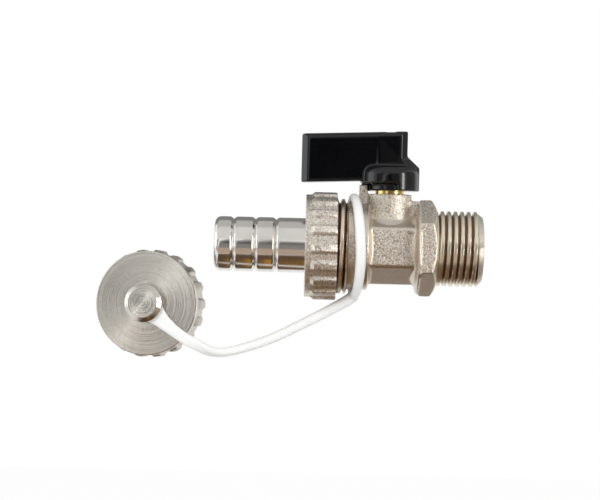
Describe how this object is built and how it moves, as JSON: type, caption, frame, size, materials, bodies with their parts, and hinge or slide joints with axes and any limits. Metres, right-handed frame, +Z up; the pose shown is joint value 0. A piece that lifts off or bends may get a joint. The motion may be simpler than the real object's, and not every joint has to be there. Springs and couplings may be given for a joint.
{
  "type": "drain cock",
  "caption": "Quarter-turn drain cock with a threaded inlet, black lever, grooved hose tail and a ribbed blanking cap on a white strap.",
  "frame": {"origin": "on the waterway's axis at the shoulder of the inlet thread", "axes": "+X along the waterway out of the inlet, +Z up the stem, lever in line with the waterway when open"},
  "size_m": [0.1067, 0.03, 0.0645],
  "materials": {
    "plated_forging": "nickel-plated, sand-textured forging",
    "plated_turning": "nickel-plated, turned",
    "polished_tail": "nickel-plated, polished",
    "polished_ball": "plated and polished",
    "plain_brass": "bare turned brass",
    "white_seat": "smooth white seal plastic",
    "black_rubber": "matt black rubber",
    "black_lever": "glossy black moulding",
    "zinc_steel": "zinc-plated steel",
    "white_strap": "soft white moulding"
  },
  "bodies": {
    "valve": {"valve_body": "plated_forging", "seat_retainer": "plain_brass", "inlet_seat": "white_seat", "outlet_seat": "white_seat", "stem_thrust_washer": "white_seat"},
    "lever": {"lever": "black_lever", "lever_washer": "zinc_steel", "lever_screw": "zinc_steel", "stem": "plain_brass", "stem_o_ring_lower": "black_rubber", "stem_o_ring_upper": "black_rubber", "ball": "polished_ball"},
    "hose_tail": {"hose_tail": "polished_tail", "union_gasket": "black_rubber"},
    "union_nut": {"union_nut": "plated_forging"},
    "strap": {"cap_strap": "white_strap"},
    "cap": {"blanking_cap": "plated_turning", "cap_gasket": "black_rubber"}
  },
  "joints": [
    {"name": "lever_turn", "type": "hinge", "parent": "valve", "child": "lever", "pos_m": [-0.013, 0, 0], "axis": [0, 0, 1], "range_deg": [-90, 0]},
    {"name": "tail_slide", "type": "slide", "parent": "valve", "child": "hose_tail", "axis": [-1, 0, 0], "range_m": [0, 0.0036]},
    {"name": "nut_turn", "type": "hinge", "parent": "hose_tail", "child": "union_nut", "pos_m": [-0.036, 0, 0], "axis": [-1, 0, 0], "range_deg": [0, 720]},
    {"name": "strap_swing", "type": "hinge", "parent": "valve", "child": "strap", "pos_m": [-0.0222, 0, 0], "axis": [1, 0, 0], "range_deg": [0, 110]},
    {"name": "cap_spin", "type": "hinge", "parent": "strap", "child": "cap", "pos_m": [-0.0797, -0.00195, -0.017], "axis": [-0.19, -0.981, 0.04], "continuous": true}
  ],
  "couplings": [
    {"joint": "nut_turn", "follows": "tail_slide", "rad_per_m": 3463.7}
  ]
}
